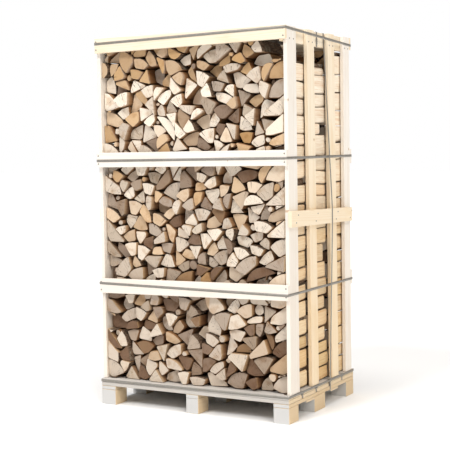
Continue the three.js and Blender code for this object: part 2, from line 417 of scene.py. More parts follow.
def sawn_board_tree():
    g, given = new_tree("sawn board", [
        ("Foot Left", "Vector"), ("Foot Right", "Vector"), ("Top Right", "Vector"),
        ("Top Left", "Vector"), ("Through", "Vector"), ("Size", "Vector"), ("Sink", "Float"),
        ("Divisions Along", "Int"), ("Divisions Across", "Int"), ("Divisions Through", "Int"),
        ("Shift", "Vector"), ("Material", "Material")])
    block = g.node("GeometryNodeMeshCube", None, {
        "Size": (1, 1, 1), "Vertices X": given["Divisions Along"],
        "Vertices Y": given["Divisions Across"], "Vertices Z": given["Divisions Through"]})
    where = g.node("GeometryNodeInputPosition")
    end = g.split(g.node("GeometryNodeInputNormal"))[0].apply("ABSOLUTE").fade(0.5, 0.6)
    block = g.node("GeometryNodeStoreNamedAttribute", {"data_type": "FLOAT", "domain": "FACE"}, {
        "Geometry": block, "Name": "end", "Value": end})
    grain = g.vector("ADD", g.vector("MULTIPLY", where, given["Size"]), given["Shift"])
    block = g.node("GeometryNodeStoreNamedAttribute", {
        "data_type": "FLOAT_VECTOR", "domain": "POINT"}, {
        "Geometry": block, "Name": "grain", "Value": grain})
    rough = g.noise(g.vector("MULTIPLY", grain, (1.0, 3.0, 3.0)), 9.0, 3.0, 0.6).output("Color")
    depth = g.vector("DIVIDE", g.vector("SCALE", rough, scale=given["Sink"] * 2.0), given["Size"])
    inside = g.vector("MULTIPLY", where, g.vector("SUBTRACT", (1.0, 1.0, 1.0), depth))
    along, across, through = g.split(g.vector("ADD", inside, (0.5, 0.5, 0.5)))

    def between(a, b, share):
        near, far = g.vector("SCALE", a, scale=1 - share), g.vector("SCALE", b, scale=share)
        return g.vector("ADD", near, far)

    foot = between(given["Foot Left"], given["Foot Right"], across)
    top = between(given["Top Left"], given["Top Right"], across)
    into = g.vector("SCALE", given["Through"], scale=through)
    place = g.vector("ADD", between(foot, top, along), into)
    bent = g.node("GeometryNodeSetPosition", None, {"Geometry": block, "Position": place})
    return close_tree(g, bent, given["Material"])


SAWN_BOARD = sawn_board_tree()
print("sawn board tree:", len(SAWN_BOARD.nodes), "nodes")

# %% [markdown]
# A modifier's inputs are set through the socket's identifier before the object is first evaluated.
# The result is then copied out as a plain mesh, and the modifier is gone with its carrier.

# %% Running a tree and keeping its mesh
rng_boards = np.random.default_rng(11)


def run_tree(tree, name, values, source=None, bevel=0.0):
    """Evaluates a tree with the given inputs and returns the result as a new plain object"""
    carrier = add_object("carrier", source or bpy.data.meshes.new("carrier"))
    modifier = carrier.modifiers.new("tree", "NODES")
    modifier.node_group = tree
    sockets = {s.name: s.identifier for s in tree.interface.items_tree if s.in_out == "INPUT"}
    for label, value in values.items():
        modifier[sockets[label]] = value
    if bevel:
        edge = carrier.modifiers.new("broken edges", "BEVEL")
        edge.width = bevel
        edge.segments = 1
        edge.limit_method = "ANGLE"
        edge.angle_limit = math.radians(40)
    depsgraph = bpy.context.evaluated_depsgraph_get()
    evaluated = carrier.evaluated_get(depsgraph)
    mesh = bpy.data.meshes.new_from_object(evaluated, depsgraph=depsgraph)
    bpy.data.objects.remove(carrier)
    mesh.name = name
    return add_object(name, mesh)


def points_of(piece):
    return np.array([vertex.co for vertex in piece.data.vertices])


def corners_of(node, length_axis, width_axis):
    """The four outline corners of a CAD board: foot left, foot right, top right, top left"""
    points = points_of(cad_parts[node])
    low, high = points.min(0), points.max(0)
    scaled = (points - low) / (high - low) * 2 - 1
    found = []
    for along, across in ((-1, -1), (-1, 1), (1, 1), (1, -1)):
        best = np.argmax(along * scaled[:, length_axis] + across * scaled[:, width_axis])
        found.append(points[best])
    return found, low, high


# %% [markdown]
# A board's four corners are read from its construction model. The pattern of each board is shifted
# by a random amount along the trunk, so that no two boards show the same knots.

# %% Saw one board
STEP = 24 * MM  # length of a board between two rows of points
SINK = 0.0009
BROKEN_EDGE = 1.3 * MM


def saw_board(node, material):
    """Replaces a CAD board with a sawn one of the same outline"""
    low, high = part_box(node)
    extents = list(high - low)
    thin, wide, long = sorted(range(3), key=lambda axis: extents[axis])
    corners, low, high = corners_of(node, long, wide)
    for corner in corners:
        corner[thin] = low[thin]
    through = np.zeros(3)
    through[thin] = high[thin] - low[thin]
    # The tree's block is right-handed: along x width x thickness. Left and right swap where this
    # board isn't.
    along = corners[3] - corners[0]
    across = corners[1] - corners[0]
    if np.dot(np.cross(along, across), through) < 0:
        corners = [corners[1], corners[0], corners[3], corners[2]]
    size = [extents[long], float(np.linalg.norm(across)), extents[thin]]
    divisions = [max(2, round(size[0] / STEP) + 1), max(3, round(size[1] / (0.6 * STEP)) + 1), 3]
    shift = rng_boards.uniform(-4, 4, 3)
    shift[1:] = rng_boards.uniform(-0.03, 0.03, 2)
    values = {"Through": through.tolist(), "Size": size, "Sink": SINK, "Shift": shift.tolist(),
              "Material": material}
    for label, corner in zip(("Foot Left", "Foot Right", "Top Right", "Top Left"), corners):
        values[label] = corner.tolist()
    for label, count in zip(("Along", "Across", "Through"), divisions):
        values[f"Divisions {label}"] = count
    board = run_tree(SAWN_BOARD, f"{node}_sawn", values, bevel=BROKEN_EDGE)
    board.data.set_sharp_from_angle(angle=math.radians(30))
    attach(board, "root")
    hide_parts(node)
    return board


# %% Saw every board
FINISHES = (
    (("upper_rail", "lower_rail", "post_"), "front", "crate_wood"),
    (("slat_", "side_", "top_board"), "crate", "crate_wood"),
    # the cross boards take the dark lid finish, painted shade under the top
    (("cross_board",), "lid", "crate_wood"),
    (("block_", "stringer_"), "block", "pallet_wood"),
    (("under_board", "deck_board", "floor_board"), "pallet", "pallet_wood"))
boards = []
for node in sorted(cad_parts):
    for starts, finish, slot in FINISHES:
        if node.startswith(starts):
            boards.append(saw_board(node, PINES[finish]))
print("sawn boards:", len(boards), "with", sum(len(b.data.polygons) for b in boards), "faces")

# %% [markdown]
# ## Splitting the logs
#
# A firewood log is a length of trunk, split along its grain: into halves, quarters and narrower
# sectors, and thick ones again into an outer and an inner piece. So each end is drawn as its maker
# cut it: a slightly uneven circle, cut by straight lines. Edges that are left of the circle carry
# bark.

# %% The outline of a split log
def split_off(points, bark, angle, distance):
    """Keeps the part of an outline on the near side of a line; a new edge carries no bark"""
    normal = np.array((math.cos(angle), math.sin(angle)))
    side = points @ normal - distance
    kept, flags = [], []
    for i in range(len(points)):
        j = (i + 1) % len(points)
        if side[i] <= 0:
            kept.append(points[i])
            flags.append(bark[i])
        if side[i] * side[j] < 0:
            share = side[i] / (side[i] - side[j])
            kept.append(points[i] + share * (points[j] - points[i]))
            flags.append(side[i] > 0 and bark[i])
    return np.array(kept), flags


KINDS = ("sector", "outer", "inner", "half", "slab", "round")
SHARES = (0.22, 0.24, 0.36, 0.10, 0.06, 0.02)


def split_log(rng):
    """One log's outline in metres, with its pith at the origin, and which edges carry bark"""
    radius = rng.uniform(0.070, 0.118)
    angles = np.linspace(0, 2 * np.pi, 20, endpoint=False)
    phase = rng.uniform(0, 2 * np.pi, 2)
    edge = radius * (1 + 0.035 * np.sin(2 * angles + phase[0])
                     + 0.02 * np.sin(3 * angles + phase[1]))
    points = np.c_[edge * np.cos(angles), edge * np.sin(angles)]
    bark = [True] * len(points)

    def cut(angle, distance):
        nonlocal points, bark
        points, bark = split_off(points, bark, angle, distance)

    kind = rng.choice(KINDS, p=SHARES)
    if kind == "round":
        return points * rng.uniform(0.024, 0.036) / radius, bark, kind
    if kind == "half":
        points = points * rng.uniform(0.044, 0.062) / radius
        radius = np.abs(points).max()
        cut(-np.pi / 2, rng.uniform(-0.15, 0.12) * radius)
        if rng.random() < 0.35:
            cut(rng.uniform(-0.5, 0.5), 0.7 * radius)
        return points, bark, kind
    half = math.radians(rng.uniform(26, 47) if kind != "slab" else 80)
    if kind == "outer":
        half = math.radians(rng.uniform(18, 32))
        points = points * 1.12
        radius *= 1.12
    for side in (1, -1):
        cut(side * (np.pi / 2 + half), rng.normal(0, 0.004))
    if kind == "sector":
        cut(np.pi + rng.uniform(-0.5, 0.5), -rng.uniform(0.05, 0.24) * radius)
        if rng.random() < 0.3:
            cut(rng.uniform(-0.5, 0.5), rng.uniform(0.75, 0.92) * radius)
    elif kind == "outer":
        cut(np.pi + rng.uniform(-0.3, 0.3), -rng.uniform(0.36, 0.55) * radius)
    elif kind == "inner":
        cut(rng.uniform(-0.35, 0.35), rng.uniform(0.62, 0.85) * radius)
        if rng.random() < 0.7:
            cut(np.pi + rng.uniform(-0.6, 0.6), -rng.uniform(0.12, 0.32) * radius)
    else:
        cut(np.pi, -rng.uniform(0.45, 0.6) * radius)
    return points, bark, kind


def area(outline):
    x, y = outline[..., 0], outline[..., 1]
    return 0.5 * np.sum(x * np.roll(y, -1, -1) - y * np.roll(x, -1, -1), -1)


# %% [markdown]
# ## Stacking
#
# A stacker takes a few logs in hand, tries each one a few ways round, and lays the one that fits
# best. Here the same is done in the plane of the log ends. The stack's top is a skyline of narrow
# columns; a log sinks onto it until it touches, and the place that leaves the least air wins. A log
# with a wide split face is also tried flush against a side. When nothing fits under the roof any
# more, smaller and smaller logs top the stack up.

# %% Lay the logs one on another
COLUMN = 4 * MM
AIR = 2.4 * MM
SMALLEST, LARGEST = 0.0024, 0.0080
IN_HAND, WAYS_ROUND = 8, 8
WALL_STRIP = 0.055  # a log lies flat against the side, or leaves room there for one that does
WALL_FACE = 0.055
WALL_COST, WALL_REWARD = 0.06, 0.6
WASTE_COST, TALL_COST, SIZE_REWARD, CHANCE = 0.085, 0.03, 0.35, 0.004
TALL = 1.25  # height over width past which a log stands awkwardly
PEELED_SHARE = 0.15  # logs whose bark has come off
PATIENCE, SHRINK, SMALLEST_SCALE = 5, 0.8, 0.4
NOWHERE = 9  # a score that no place reaches


def under_and_over(points):
    """Lowest and highest y of a convex outline over each column that it covers"""
    left, right = points[:, 0].min(), points[:, 0].max()
    columns = left + COLUMN * np.arange(max(2, math.ceil((right - left) / COLUMN) + 1))
    columns = np.minimum(columns, right)
    step = np.roll(points, -1, 0) - points
    leaning = np.abs(step[:, 0]) > 1e-9
    start, step = points[leaning], step[leaning]
    slope = step[:, 1] / step[:, 0]
    y = start[:, 1, None] + (columns - start[:, 0, None]) * slope[:, None]
    forward = step[:, 0, None] > 0
    return left, np.where(forward, y, -9).max(0), np.where(forward, 9, y).min(0)


def windows(values, count):
    return np.lib.stride_tricks.sliding_window_view(values, count)


def flat_turns(outline, bark):
    """Turns that bring a wide split face to a side of the crate: turn, side and width"""
    edges = np.roll(outline, -1, 0) - outline
    lengths = np.linalg.norm(edges, axis=1)
    turns = []
    for edge, length, barked in zip(edges, lengths, bark):
        if length > WALL_FACE and not barked:
            facing = math.atan2(-edge[0], edge[1])
            turns += [(-facing, 1, length), (math.pi - facing, -1, length)]
    return turns


# %% Fill a bay with logs
def lay_logs(rng, width, ceiling):
    """Fills a bay of the given width up to the ceiling. Each log: outline, bark edges, pith"""
    scale = 1.0
    columns = int(width / COLUMN)
    skyline = np.zeros(columns)
    roof = ceiling((np.arange(columns) + 0.5) * COLUMN)
    logs = []
    misses = 0
    while scale > SMALLEST_SCALE:
        best = None
        upright_cost = rng.uniform(0.3, 1.1)
        for _ in range(IN_HAND):
            outline, bark, kind = split_log(rng)
            size = area(outline)
            if not (SMALLEST < size < LARGEST or kind == "round"):
                continue
            outline = outline * scale
            turns = [(turn, 0, 0) for turn in rng.uniform(0, 2 * np.pi, WAYS_ROUND)]
            for turn, side, face in turns + flat_turns(outline, bark):
                c, s = math.cos(turn), math.sin(turn)
                turned = outline @ np.array(((c, s), (-s, c)))
                left, under, over = under_and_over(turned)
                count = len(under)
                below = windows(skyline, count)
                rest = (below - under).max(1) + AIR
                waste = (rest[:, None] + under - below).sum(1) * COLUMN
                tall = max(0.0, (over.max() - under.min()) / (count * COLUMN) - TALL)
                score = rest + upright_cost * turned[:, 1].mean() + waste / size * WASTE_COST
                score += TALL_COST * tall - SIZE_REWARD * math.sqrt(size) + rng.uniform(0, CHANCE)
                strip = min(math.ceil(WALL_STRIP / COLUMN), len(score) // 2)
                score[:strip] += WALL_COST
                score[-strip:] += WALL_COST
                if side:
                    at_wall = 0 if side < 0 else -1
                    flush = score[at_wall] - WALL_COST - WALL_REWARD * face
                    score[:] = NOWHERE
                    score[at_wall] = flush
                too_high = (rest[:, None] + over > windows(roof, count)).any(1)
                score = np.where(too_high, NOWHERE, score)
                spot = int(np.argmin(score))
                if best is None or score[spot] < best[0]:
                    best = (score[spot], spot, rest[spot], turned, left, over, bark)
        if best is None or best[0] >= NOWHERE:
            misses += 1
            if misses > PATIENCE:
                misses = 0
                scale *= SHRINK
            continue
        misses = 0
        _, spot, rest, turned, left, over, bark = best
        if rng.random() < PEELED_SHARE:
            bark = [False] * len(bark)
        pith = np.array(((spot + 0.5) * COLUMN - left, rest))
        covered = slice(spot, spot + len(over))
        skyline[covered] = np.maximum(skyline[covered], over + rest)
        logs.append((turned + pith, bark, pith))
    return logs


# %% [markdown]
# Dropped logs leave air beside them. In a real stack they are knocked tight and differ in size to
# suit. So each log in turn tries a few small turns, moves and stretches, and keeps the one that
# makes it largest without touching a neighbour. Two convex outlines are apart if some edge of one
# has all of the other in front of it.

# %% Knock the stack tight
TRIES, GAP, LARGEST_GROWN = 16, 2.5 * MM, 0.0090
LOWER_IS_BETTER = 0.004


def outward(outlines):
    edges = np.roll(outlines, -1, -2) - outlines
    normals = np.stack([edges[..., 1], -edges[..., 0]], -1)
    return normals / np.maximum(np.linalg.norm(normals, axis=-1, keepdims=True), 1e-12)


def gaps(trials, trial_normals, others, other_normals):
    """The gap between each trial outline and each other one, negative where they overlap"""
    reach = np.einsum("tvi,tvi->tv", trial_normals, trials)[:, None]
    front = np.einsum("tvi,kwi->tkvw", trial_normals, others).min(3) - reach
    reach = np.einsum("kvi,kvi->kv", other_normals, others)[None]
    back = np.einsum("kvi,twi->tkvw", other_normals, trials).min(3) - reach
    return np.maximum(front.max(2), back.max(2))


def stretches(rng, count, ease):
    """Random small turns and stretches as 2 x 2 matrices"""
    turn = rng.normal(0, 0.04 * ease, count) * (np.arange(count) > 2)
    grow = 1 + rng.uniform(0, 0.09, count) * ease
    cross = 1 + rng.uniform(-0.01, 0.04, count) * ease
    axis = rng.uniform(0, np.pi, count)
    c, s = np.cos(axis), np.sin(axis)
    stretch = np.empty((count, 2, 2))
    stretch[:, 0, 0] = grow * c * c + cross * s * s
    stretch[:, 1, 1] = grow * s * s + cross * c * c
    stretch[:, 0, 1] = stretch[:, 1, 0] = (grow - cross) * c * s
    c, s = np.cos(turn), np.sin(turn)
    spin = np.stack([np.stack([c, -s], -1), np.stack([s, c], -1)], -2)
    return np.swapaxes(spin @ stretch, 1, 2)


def knock_tight(outlines, rng, width, ceiling, rounds):
    most = max(len(p) for p in outlines)
    logs = np.array([np.vstack([p, np.repeat(p[-1:], most - len(p), 0)]) for p in outlines])
    normals = outward(logs)
    centres = logs.mean(1)
    reach = np.linalg.norm(logs - centres[:, None], axis=2).max(1)
    for done in range(rounds):
        ease = 1 - 0.75 * done / rounds
        for i in rng.permutation(len(logs)):
            near = np.linalg.norm(centres - centres[i], axis=1) < reach + reach[i] * 1.1 + 0.01
            near[i] = False
            move = rng.normal(0, 0.0035 * ease, (TRIES, 1, 2))
            move[:3] = 0
            trial = (logs[i] - centres[i]) @ stretches(rng, TRIES, ease) + centres[i] + move
            fits = (trial[..., 0].min(1) > MM) & (trial[..., 0].max(1) < width - MM)
            fits &= (trial[..., 1].min(1) > 0) & (trial[..., 1] <= ceiling(trial[..., 0])).all(1)
            if near.any():
                fits &= gaps(trial, outward(trial), logs[near], normals[near]).min(1) > GAP
            size = area(trial)
            value = size - LOWER_IS_BETTER * trial[..., 1].mean(1)
            value = np.where(fits & (size < LARGEST_GROWN), value, -NOWHERE)
            best = int(np.argmax(value))
            if value[best] > area(logs[i]) - LOWER_IS_BETTER * logs[i, :, 1].mean():
                logs[i] = trial[best]
                normals[i] = outward(logs[i])
                centres[i] = logs[i].mean(0)
                reach[i] = np.linalg.norm(logs[i] - centres[i], axis=1).max()
    return logs


# %% [markdown]
# Some holes stay open however well the logs are knocked. They take kindling, small five-sided pieces,
# the widest hole first, and then the wall is knocked tight once more.

# %% Fill the holes with kindling
KINDLING = 13 * MM  # radius of the smallest piece
RASTER, MARGIN = 7 * MM, 12 * MM


def kindling(logs, rng, width, ceiling):
    """Small outlines for the widest holes that the logs leave"""
    top = ceiling(np.arange(0, width, RASTER)).max()
    grid = np.meshgrid(*(np.arange(MARGIN, end - MARGIN, RASTER) for end in (width, top)))
    spots = np.c_[grid[0].ravel(), grid[1].ravel()]
    room = np.minimum(np.minimum(spots[:, 0], width - spots[:, 0]), spots[:, 1])
    room = np.minimum(room, ceiling(spots[:, 0]) - spots[:, 1])
    for outline in logs:
        near = (spots > outline.min(0) - 0.05) & (spots < outline.max(0) + 0.05)
        near = np.nonzero(near.all(1))[0]
        normals = outward(outline)
        distance = (spots[near] @ normals.T - (normals * outline).sum(1)).max(1)
        room[near] = np.minimum(room[near], distance)
    found = []
    while room.max() > KINDLING:
        i = int(np.argmax(room))
        corners = rng.uniform(0, 2 * np.pi) + np.arange(5) * 2 * np.pi / 5
        corners += rng.uniform(-0.35, 0.35, 5)
        found.append(spots[i] + 0.93 * room[i] * np.c_[np.cos(corners), np.sin(corners)])
        room = np.where(np.linalg.norm(spots - spots[i], axis=1) < room[i] * 1.8, 0, room)
    return found


# %% [markdown]
# Between the logs that lie flat against a side there are slits. Sticks are pushed in behind them, so
# that no light comes through, and all their faces are dark bark, as painted shade in the slits. Each
# stick fills the space between the log above and the log below, as measured on a few upright lines a
# little way in from the side.

# %% Sticks behind the slits
STICK_LINES = np.array((12, 24, 38, 54)) * MM
STICK_AIR = 0.8 * MM
SLIT = 3.5 * MM  # narrower slits are left alone
THICKEST, THICKEST_BEHIND = 40 * MM, 45 * MM


def crossing(outline, x):
    """Where an upright line cuts a convex outline: its low and high end, or None"""
    after = np.roll(outline, -1, 0)
    cuts = (outline[:, 0] - x) * (after[:, 0] - x) < 0
    if cuts.sum() < 2:
        return None
    share = (x - outline[cuts, 0]) / (after[cuts, 0] - outline[cuts, 0])
    heights = outline[cuts, 1] + share * (after[cuts, 1] - outline[cuts, 1])
    return heights.min(), heights.max()


def free_spans(logs, x, top):
    found = sorted(cut for cut in (crossing(outline, x) for outline in logs) if cut)
    spans, level = [], 0.0
    for low, high in found + [(top, top)]:
        if low - level > 2 * STICK_AIR + MM:
            spans.append((level + STICK_AIR, low - STICK_AIR))
        level = max(level, high)
    return spans


def sticks(logs, width, ceiling):
    made = []
    for side in (-1, 1):
        lines = STICK_LINES if side < 0 else width - STICK_LINES
        columns = [free_spans(logs, x, float(ceiling(x))) for x in lines]
        for low, high in columns[0]:
            if not SLIT - 2 * STICK_AIR <= high - low <= THICKEST:
                continue
            spans = [(low, high)]
            for column in columns[1:]:
                shared = [s for s in column if s[0] < spans[-1][1] and s[1] > spans[-1][0]]
                if len(shared) != 1 or shared[0][1] - shared[0][0] > THICKEST_BEHIND:
                    break
                spans.append(shared[0])
            if len(spans) > 1:
                under, over = ([(x, span[k]) for x, span in zip(lines, spans)] for k in (0, 1))
                made.append(np.array(under + over[::-1] if side < 0 else under[::-1] + over))
    return made


# %% [markdown]
# The pith moves with its log: the change from the old outline to the new one is a stretch, a turn
# and a move, which least squares finds from the corners. A wall's top isn't level: it is lower
# beside the crate's top boards, and at one end the last logs are missing.

# %% Stack one wall
def stack_wall(seed, width, ceiling):
    """A tight stack. Each log: outline, bark edges, pith, whether it is a stick behind a slit"""
    rng = np.random.default_rng(seed)
    laid = lay_logs(rng, width, ceiling)
    rounds = ((5, 4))
    tight = knock_tight([outline for outline, _, _ in laid], rng, width, ceiling, rounds[0])
    small = kindling(tight, rng, width, ceiling)
    tight = knock_tight(list(tight) + small, rng, width, ceiling, rounds[1])
    wall = []
    for i, padded in enumerate(tight):
        if i < len(laid):
            outline, bark, pith = laid[i]
        else:
            outline = small[i - len(laid)]
            bark, pith = [False] * len(outline), outline.mean(0) + 0.05
        now = padded[:len(outline)]
        change = np.linalg.lstsq(np.c_[outline, np.ones(len(outline))], now, rcond=None)[0]
        wall.append((now, bark, np.r_[pith, 1.0] @ change, False))
    for stick in sticks([log[0] for log in wall], width, ceiling):
        # painted shade: every edge of a stick carries dark bark, so the slits look dark
        wall.append((stick, [True] * len(stick), stick.mean(0) + 0.05, True))
    return wall


LOG_ROWS = ("front", "middle", "back")
LOG_TIERS = ("bottom", "middle", "top")
BAY_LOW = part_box("logs_bottom_front")[0]
BAY_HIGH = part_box("logs_top_front")[1]
BAY_WIDTH = BAY_HIGH.x - BAY_LOW.x
BAY_HEIGHT = BAY_HIGH.z - BAY_LOW.z
BACK_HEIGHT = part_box("logs_top_back")[1].z - BAY_LOW.z
MISSING = 0.075  # depth of the corner at the top of a wall where its last logs are missing


def open_right(x, height=BAY_HEIGHT):
    """A wall's top: lower beside the side top board, with logs missing at its right end"""
    return np.interp(x, (0.030, 0.045, 0.87 * BAY_WIDTH, 0.92 * BAY_WIDTH),
                     (BACK_HEIGHT, height, height, BACK_HEIGHT - MISSING))


def open_left(x):
    return open_right(BAY_WIDTH - x, BACK_HEIGHT)


front_wall = stack_wall(5, BAY_WIDTH, open_right)
back_wall = stack_wall(8, BAY_WIDTH, open_left)
for title, wall in (("front", front_wall), ("back", back_wall)):
    filled = sum(area(log[0]) for log in wall) / (BAY_WIDTH * BAY_HEIGHT)
    print(f"{title} wall: {len(wall)} logs fill {filled:.0%} of the bay")

# %% [markdown]
# ## Log materials
#
# All three finishes of a log are worked out in the log's own space, whose axis is its pith: the
# distance from it gives growth rings, the angle round it gives rays and drying cracks, and the way
# along it gives fibres. Each log carries that space as the attribute "wood", and two numbers,
# "tone" and "hue", that set how pale and how warm it is. They vary at random, and the tone also
# carries painted shade: darker towards the floor and under the top boards.

# %% Log materials
def log_tint(g, dark, pale, warm, grey):
    """The log's own colour from its two random numbers"""
    hue = g.attribute("hue")
    tint = g.blend(g.attribute("tone"), dark, pale)
    tint = g.blend(hue.fade(0.60, 1.0) * 0.75, tint, warm)
    return g.blend(hue.fade(0.22, 0.0) * 0.6, tint, grey)


# %% [markdown]
# A sawn end shows rings and rays, fine saw marks, brown patches where it has dried unevenly, and on
# some logs dark drying cracks.

# %% The sawn end
def end_grain():
    material, g = new_finish("log end grain")
    wood, hue = g.attribute("wood", "Vector"), g.attribute("hue")
    x, y, z = g.split(wood)
    wobble = g.noise(wood, 22.0, 2.0) - 0.5
    distance = g.vector("LENGTH", g.join(x, 0.0, z)).output("Value") + wobble * 0.006
    rings = (distance * 2100.0 + wobble * 3.0).apply("SINE") * 0.5 + 0.5
    turn = z.apply("ARCTAN2", x)
    rays = g.noise(g.join(turn * 26.0, distance * 14.0, 0.0), 1.0, 3.0, 0.7)
    crack = g.noise(g.join(turn * 5.0, distance * 6.0, y * 2.0), 1.0, 2.0, 0.6)
    crack = (crack - 0.5).apply("ABSOLUTE").fade(0.010, 0.003) * (1 - hue).fade(0.35, 0.6)
    patch = g.noise(g.vector("ADD", wood, g.join(0.0, hue * 7.0, 0.0)), 16.0, 3.0, 0.6)
    tint = log_tint(g, "7A614E", "FDF3E4", "D0A872", "BAAB98")
    tint = g.tinge(rings * 0.30, tint, "D8C2A6")
    tint = g.tinge(rays.fade(0.45, 0.75) * 0.35, tint, "DECAB4")
    tint = g.tinge(patch.fade(0.50, 0.75) * 0.55, tint, "CDAE88")
    tint = g.blend(crack * 0.75, tint, "4A3424")
    saw = (x * 0.8 + z * 0.6) * 900.0 + wobble * 10.0
    relief = rings * 0.3 + rays * 0.6 + saw.apply("SINE") * 0.25 - crack * 2.0
    return dressed(material, g, tint, rays * 0.2 + 0.72, relief, 0.5, 0.7 * MM, 0.2)


# %% [markdown]
# A split face is torn, so its fibres run deep and long. The faces that lie open at the stack's sides
# keep the pale tint, while those between the logs are painted brown as shade.

# %% The split face
def split_face():
    material, g = new_finish("log split face")
    wood = g.attribute("wood", "Vector")
    fibre = g.noise(g.vector("MULTIPLY", wood, (260.0, 7.0, 260.0)), 1.0, 4.0, 0.65)
    streak = g.noise(g.vector("MULTIPLY", wood, (45.0, 2.5, 45.0)), 1.0, 3.0, 0.6)
    x, y, z = g.split(g.node("ShaderNodeTexCoord").output("Object"))
    # painted shade mask: faces open at the sides, and partly those near the ends, stay pale; the rest
    # is painted brown
    open_side = x.apply("ABSOLUTE").fade(0.530, 0.546)
    open_end = y.apply("ABSOLUTE").fade(0.352, 0.386) * 0.35
    pale = log_tint(g, "DDC193", "F5E3C4", "E6BD86", "DCC9AE")
    pale = g.blend(z.fade(0.8, 1.7) * 0.8, pale, "FEF5E6")
    # painted shade: the brown of the faces between the logs
    brown = log_tint(g, "6E4F36", "A27E5A", "8C6239", "746150")
    tint = g.blend(open_side.apply("MAXIMUM", open_end), brown, pale)
    tint = g.tinge(fibre.fade(0.38, 0.72) * 0.45, tint, "D6B487")
    tint = g.tinge(streak.fade(0.5, 0.75) * 0.4, tint, "DDB17E")
    relief = fibre + streak * 0.8
    return dressed(material, g, tint, fibre * 0.2 + 0.68, relief, 0.7, 1.5 * MM, 0.25)


# %% [markdown]
# Bark is broken into long plates with dark furrows between them, and grey where moss has dried on it.

# %% The bark
def bark():
    material, g = new_finish("log bark")
    wood = g.attribute("wood", "Vector")
    plates = g.node("ShaderNodeTexVoronoi", {"feature": "DISTANCE_TO_EDGE"}, {
        "Vector": g.vector("MULTIPLY", wood, (70.0, 22.0, 70.0)), "Scale": 1.0})
    grit = g.noise(wood, 160.0, 4.0, 0.7)
    moss = g.noise(wood, 14.0, 3.0, 0.6)
    tint = g.blend(grit, "4E3B2E", "86705C")
    tint = g.blend(plates.fade(0.12, 0.0) * 0.8, tint, "2A1D15")
    tint = g.blend(moss.fade(0.55, 0.7) * 0.5, tint, "9A9484")
    relief = plates.fade(0.0, 0.25) + grit * 0.5
    return dressed(material, g, tint, grit * 0.15 + 0.8, relief, 0.9, 2 * MM, 0.2)


LOG_MATERIALS = (end_grain(), split_face(), bark())
END_GRAIN, SPLIT_FACE, BARK = range(3)
print("log materials:", [m.name for m in LOG_MATERIALS])

# %% [markdown]
# ## From outline to log
#
# An outline becomes a solid: its corners are rubbed round, its long edges divided, and rings of the
# result are set along the log. Fibres tear as a log splits, so each point of the outline is pushed
# in by its own amount, and nearly the same all along. The sawn ends lean a little, and their edge is
# broken. Some logs have a drying crack that opens from the outside towards the pith.

# %% One log as a mesh
ROUNDING = 7 * MM
LONGEST_EDGE = 13 * MM
STATIONS = np.array((0.0, 0.012, 0.16, 0.34, 0.52, 0.70, 0.86, 0.988, 1.0))
CRACK_SHARE, CRACK_LIP = 0.16, 0.16
TEAR, BARK_TEAR = 1.1 * MM, 1.6  # how deep fibres tear, and how much deeper in the bark
TAPER = 0.05
END_LEAN = 0.07
END_EDGE = 1.4 * MM


def rounded(outline, bark):
    """Cuts every corner of an outline and divides its long edges"""
    count = len(outline)
    cut, flags = [], []
    for i in range(count):
        before, here, after = outline[i - 1], outline[i], outline[(i + 1) % count]
        back, ahead = before - here, after - here
        for step, flag in ((back, bark[i - 1] and bark[i]), (ahead, bark[i])):
            length = np.linalg.norm(step)
            if length > 1e-6:
                cut.append(here + step * min(ROUNDING / length, 0.3))
                flags.append(flag)
    points, edges = [], []
    for i, here in enumerate(cut):
        after = cut[(i + 1) % len(cut)]
        parts = max(1, math.ceil(np.linalg.norm(after - here) / LONGEST_EDGE))
        for k in range(parts):
            points.append(here + (after - here) * k / parts)
            edges.append(flags[i])
    return np.array(points), np.array(edges)


# %% Rings along a log
def open_crack(points, edges, rng):
    """Adds a crack's two lips and its bottom to an outline; returns which point is the bottom"""
    at = int(rng.integers(1, len(points) - 1))
    lips = [points[at] + CRACK_LIP * (points[at + side] - points[at]) for side in (-1, 1)]
    points = np.vstack([points[:at], lips[0], points[at], lips[1], points[at + 1:]])
    return points, np.insert(edges, (at, at + 1), edges[at]), at + 1


def log_rings(outline, bark, pith, front, back, rng, full_front):
    """Rings of points along a log. Ring 0 lies in the front end, the last one in the back end"""
    points, edges = rounded(outline, bark)
    crack = None
    if rng.random() < CRACK_SHARE and len(points) > 14:
        points, edges, crack = open_crack(points, edges, rng)
    middle = points.mean(0)
    inward = -0.5 * (outward(points) + np.roll(outward(points), 1, 0))
    tear = rng.uniform(0.0, TEAR, len(points))
    tear = np.where(edges, tear * BARK_TEAR, tear)
    taper = rng.uniform(0.0, TAPER)
    lean = rng.normal(0, END_LEAN, (2, 2))
    rings = []
    for k, share in enumerate(STATIONS):
        away = share if full_front else 1 - share
        push = tear * (0.7 + 0.3 * rng.random(len(points)))
        ring = points + inward * push[:, None]
        if k in (0, len(STATIONS) - 1):
            ring = ring + inward * END_EDGE
        ring = middle + (ring - middle) * (1 - taper * away)
        if crack is not None:
            depth = np.clip(0.62 - 0.45 * away, 0.1, 0.7)
            bottom = 0.7 * pith + 0.3 * middle
            ring[crack] = ring[crack] + (bottom - ring[crack]) * depth * 0.8
        y = np.full(len(points), front + share * (back - front))
        if share < 0.02:
            y = y + np.abs(ring - middle) @ np.abs(lean[0]) * 0.5 + (ring - middle) @ lean[0] * 0.5
        elif share > 0.98:
            y = y - np.abs(ring - middle) @ np.abs(lean[1]) * 0.5 - (ring - middle) @ lean[1] * 0.5
        rings.append(np.c_[ring[:, 0], y, ring[:, 1]])
    return np.array(rings), edges


# %% [markdown]
# The logs of one tier of one row become one mesh. Neighbouring logs lean alike along their length,
# because each rests on the last, so the lean is a smooth field over the wall. Most logs stop a
# little short of the open side, and a few stop deep inside. Most of those near the top are painted
# darker as shade under the top boards, and are warmer in colour.

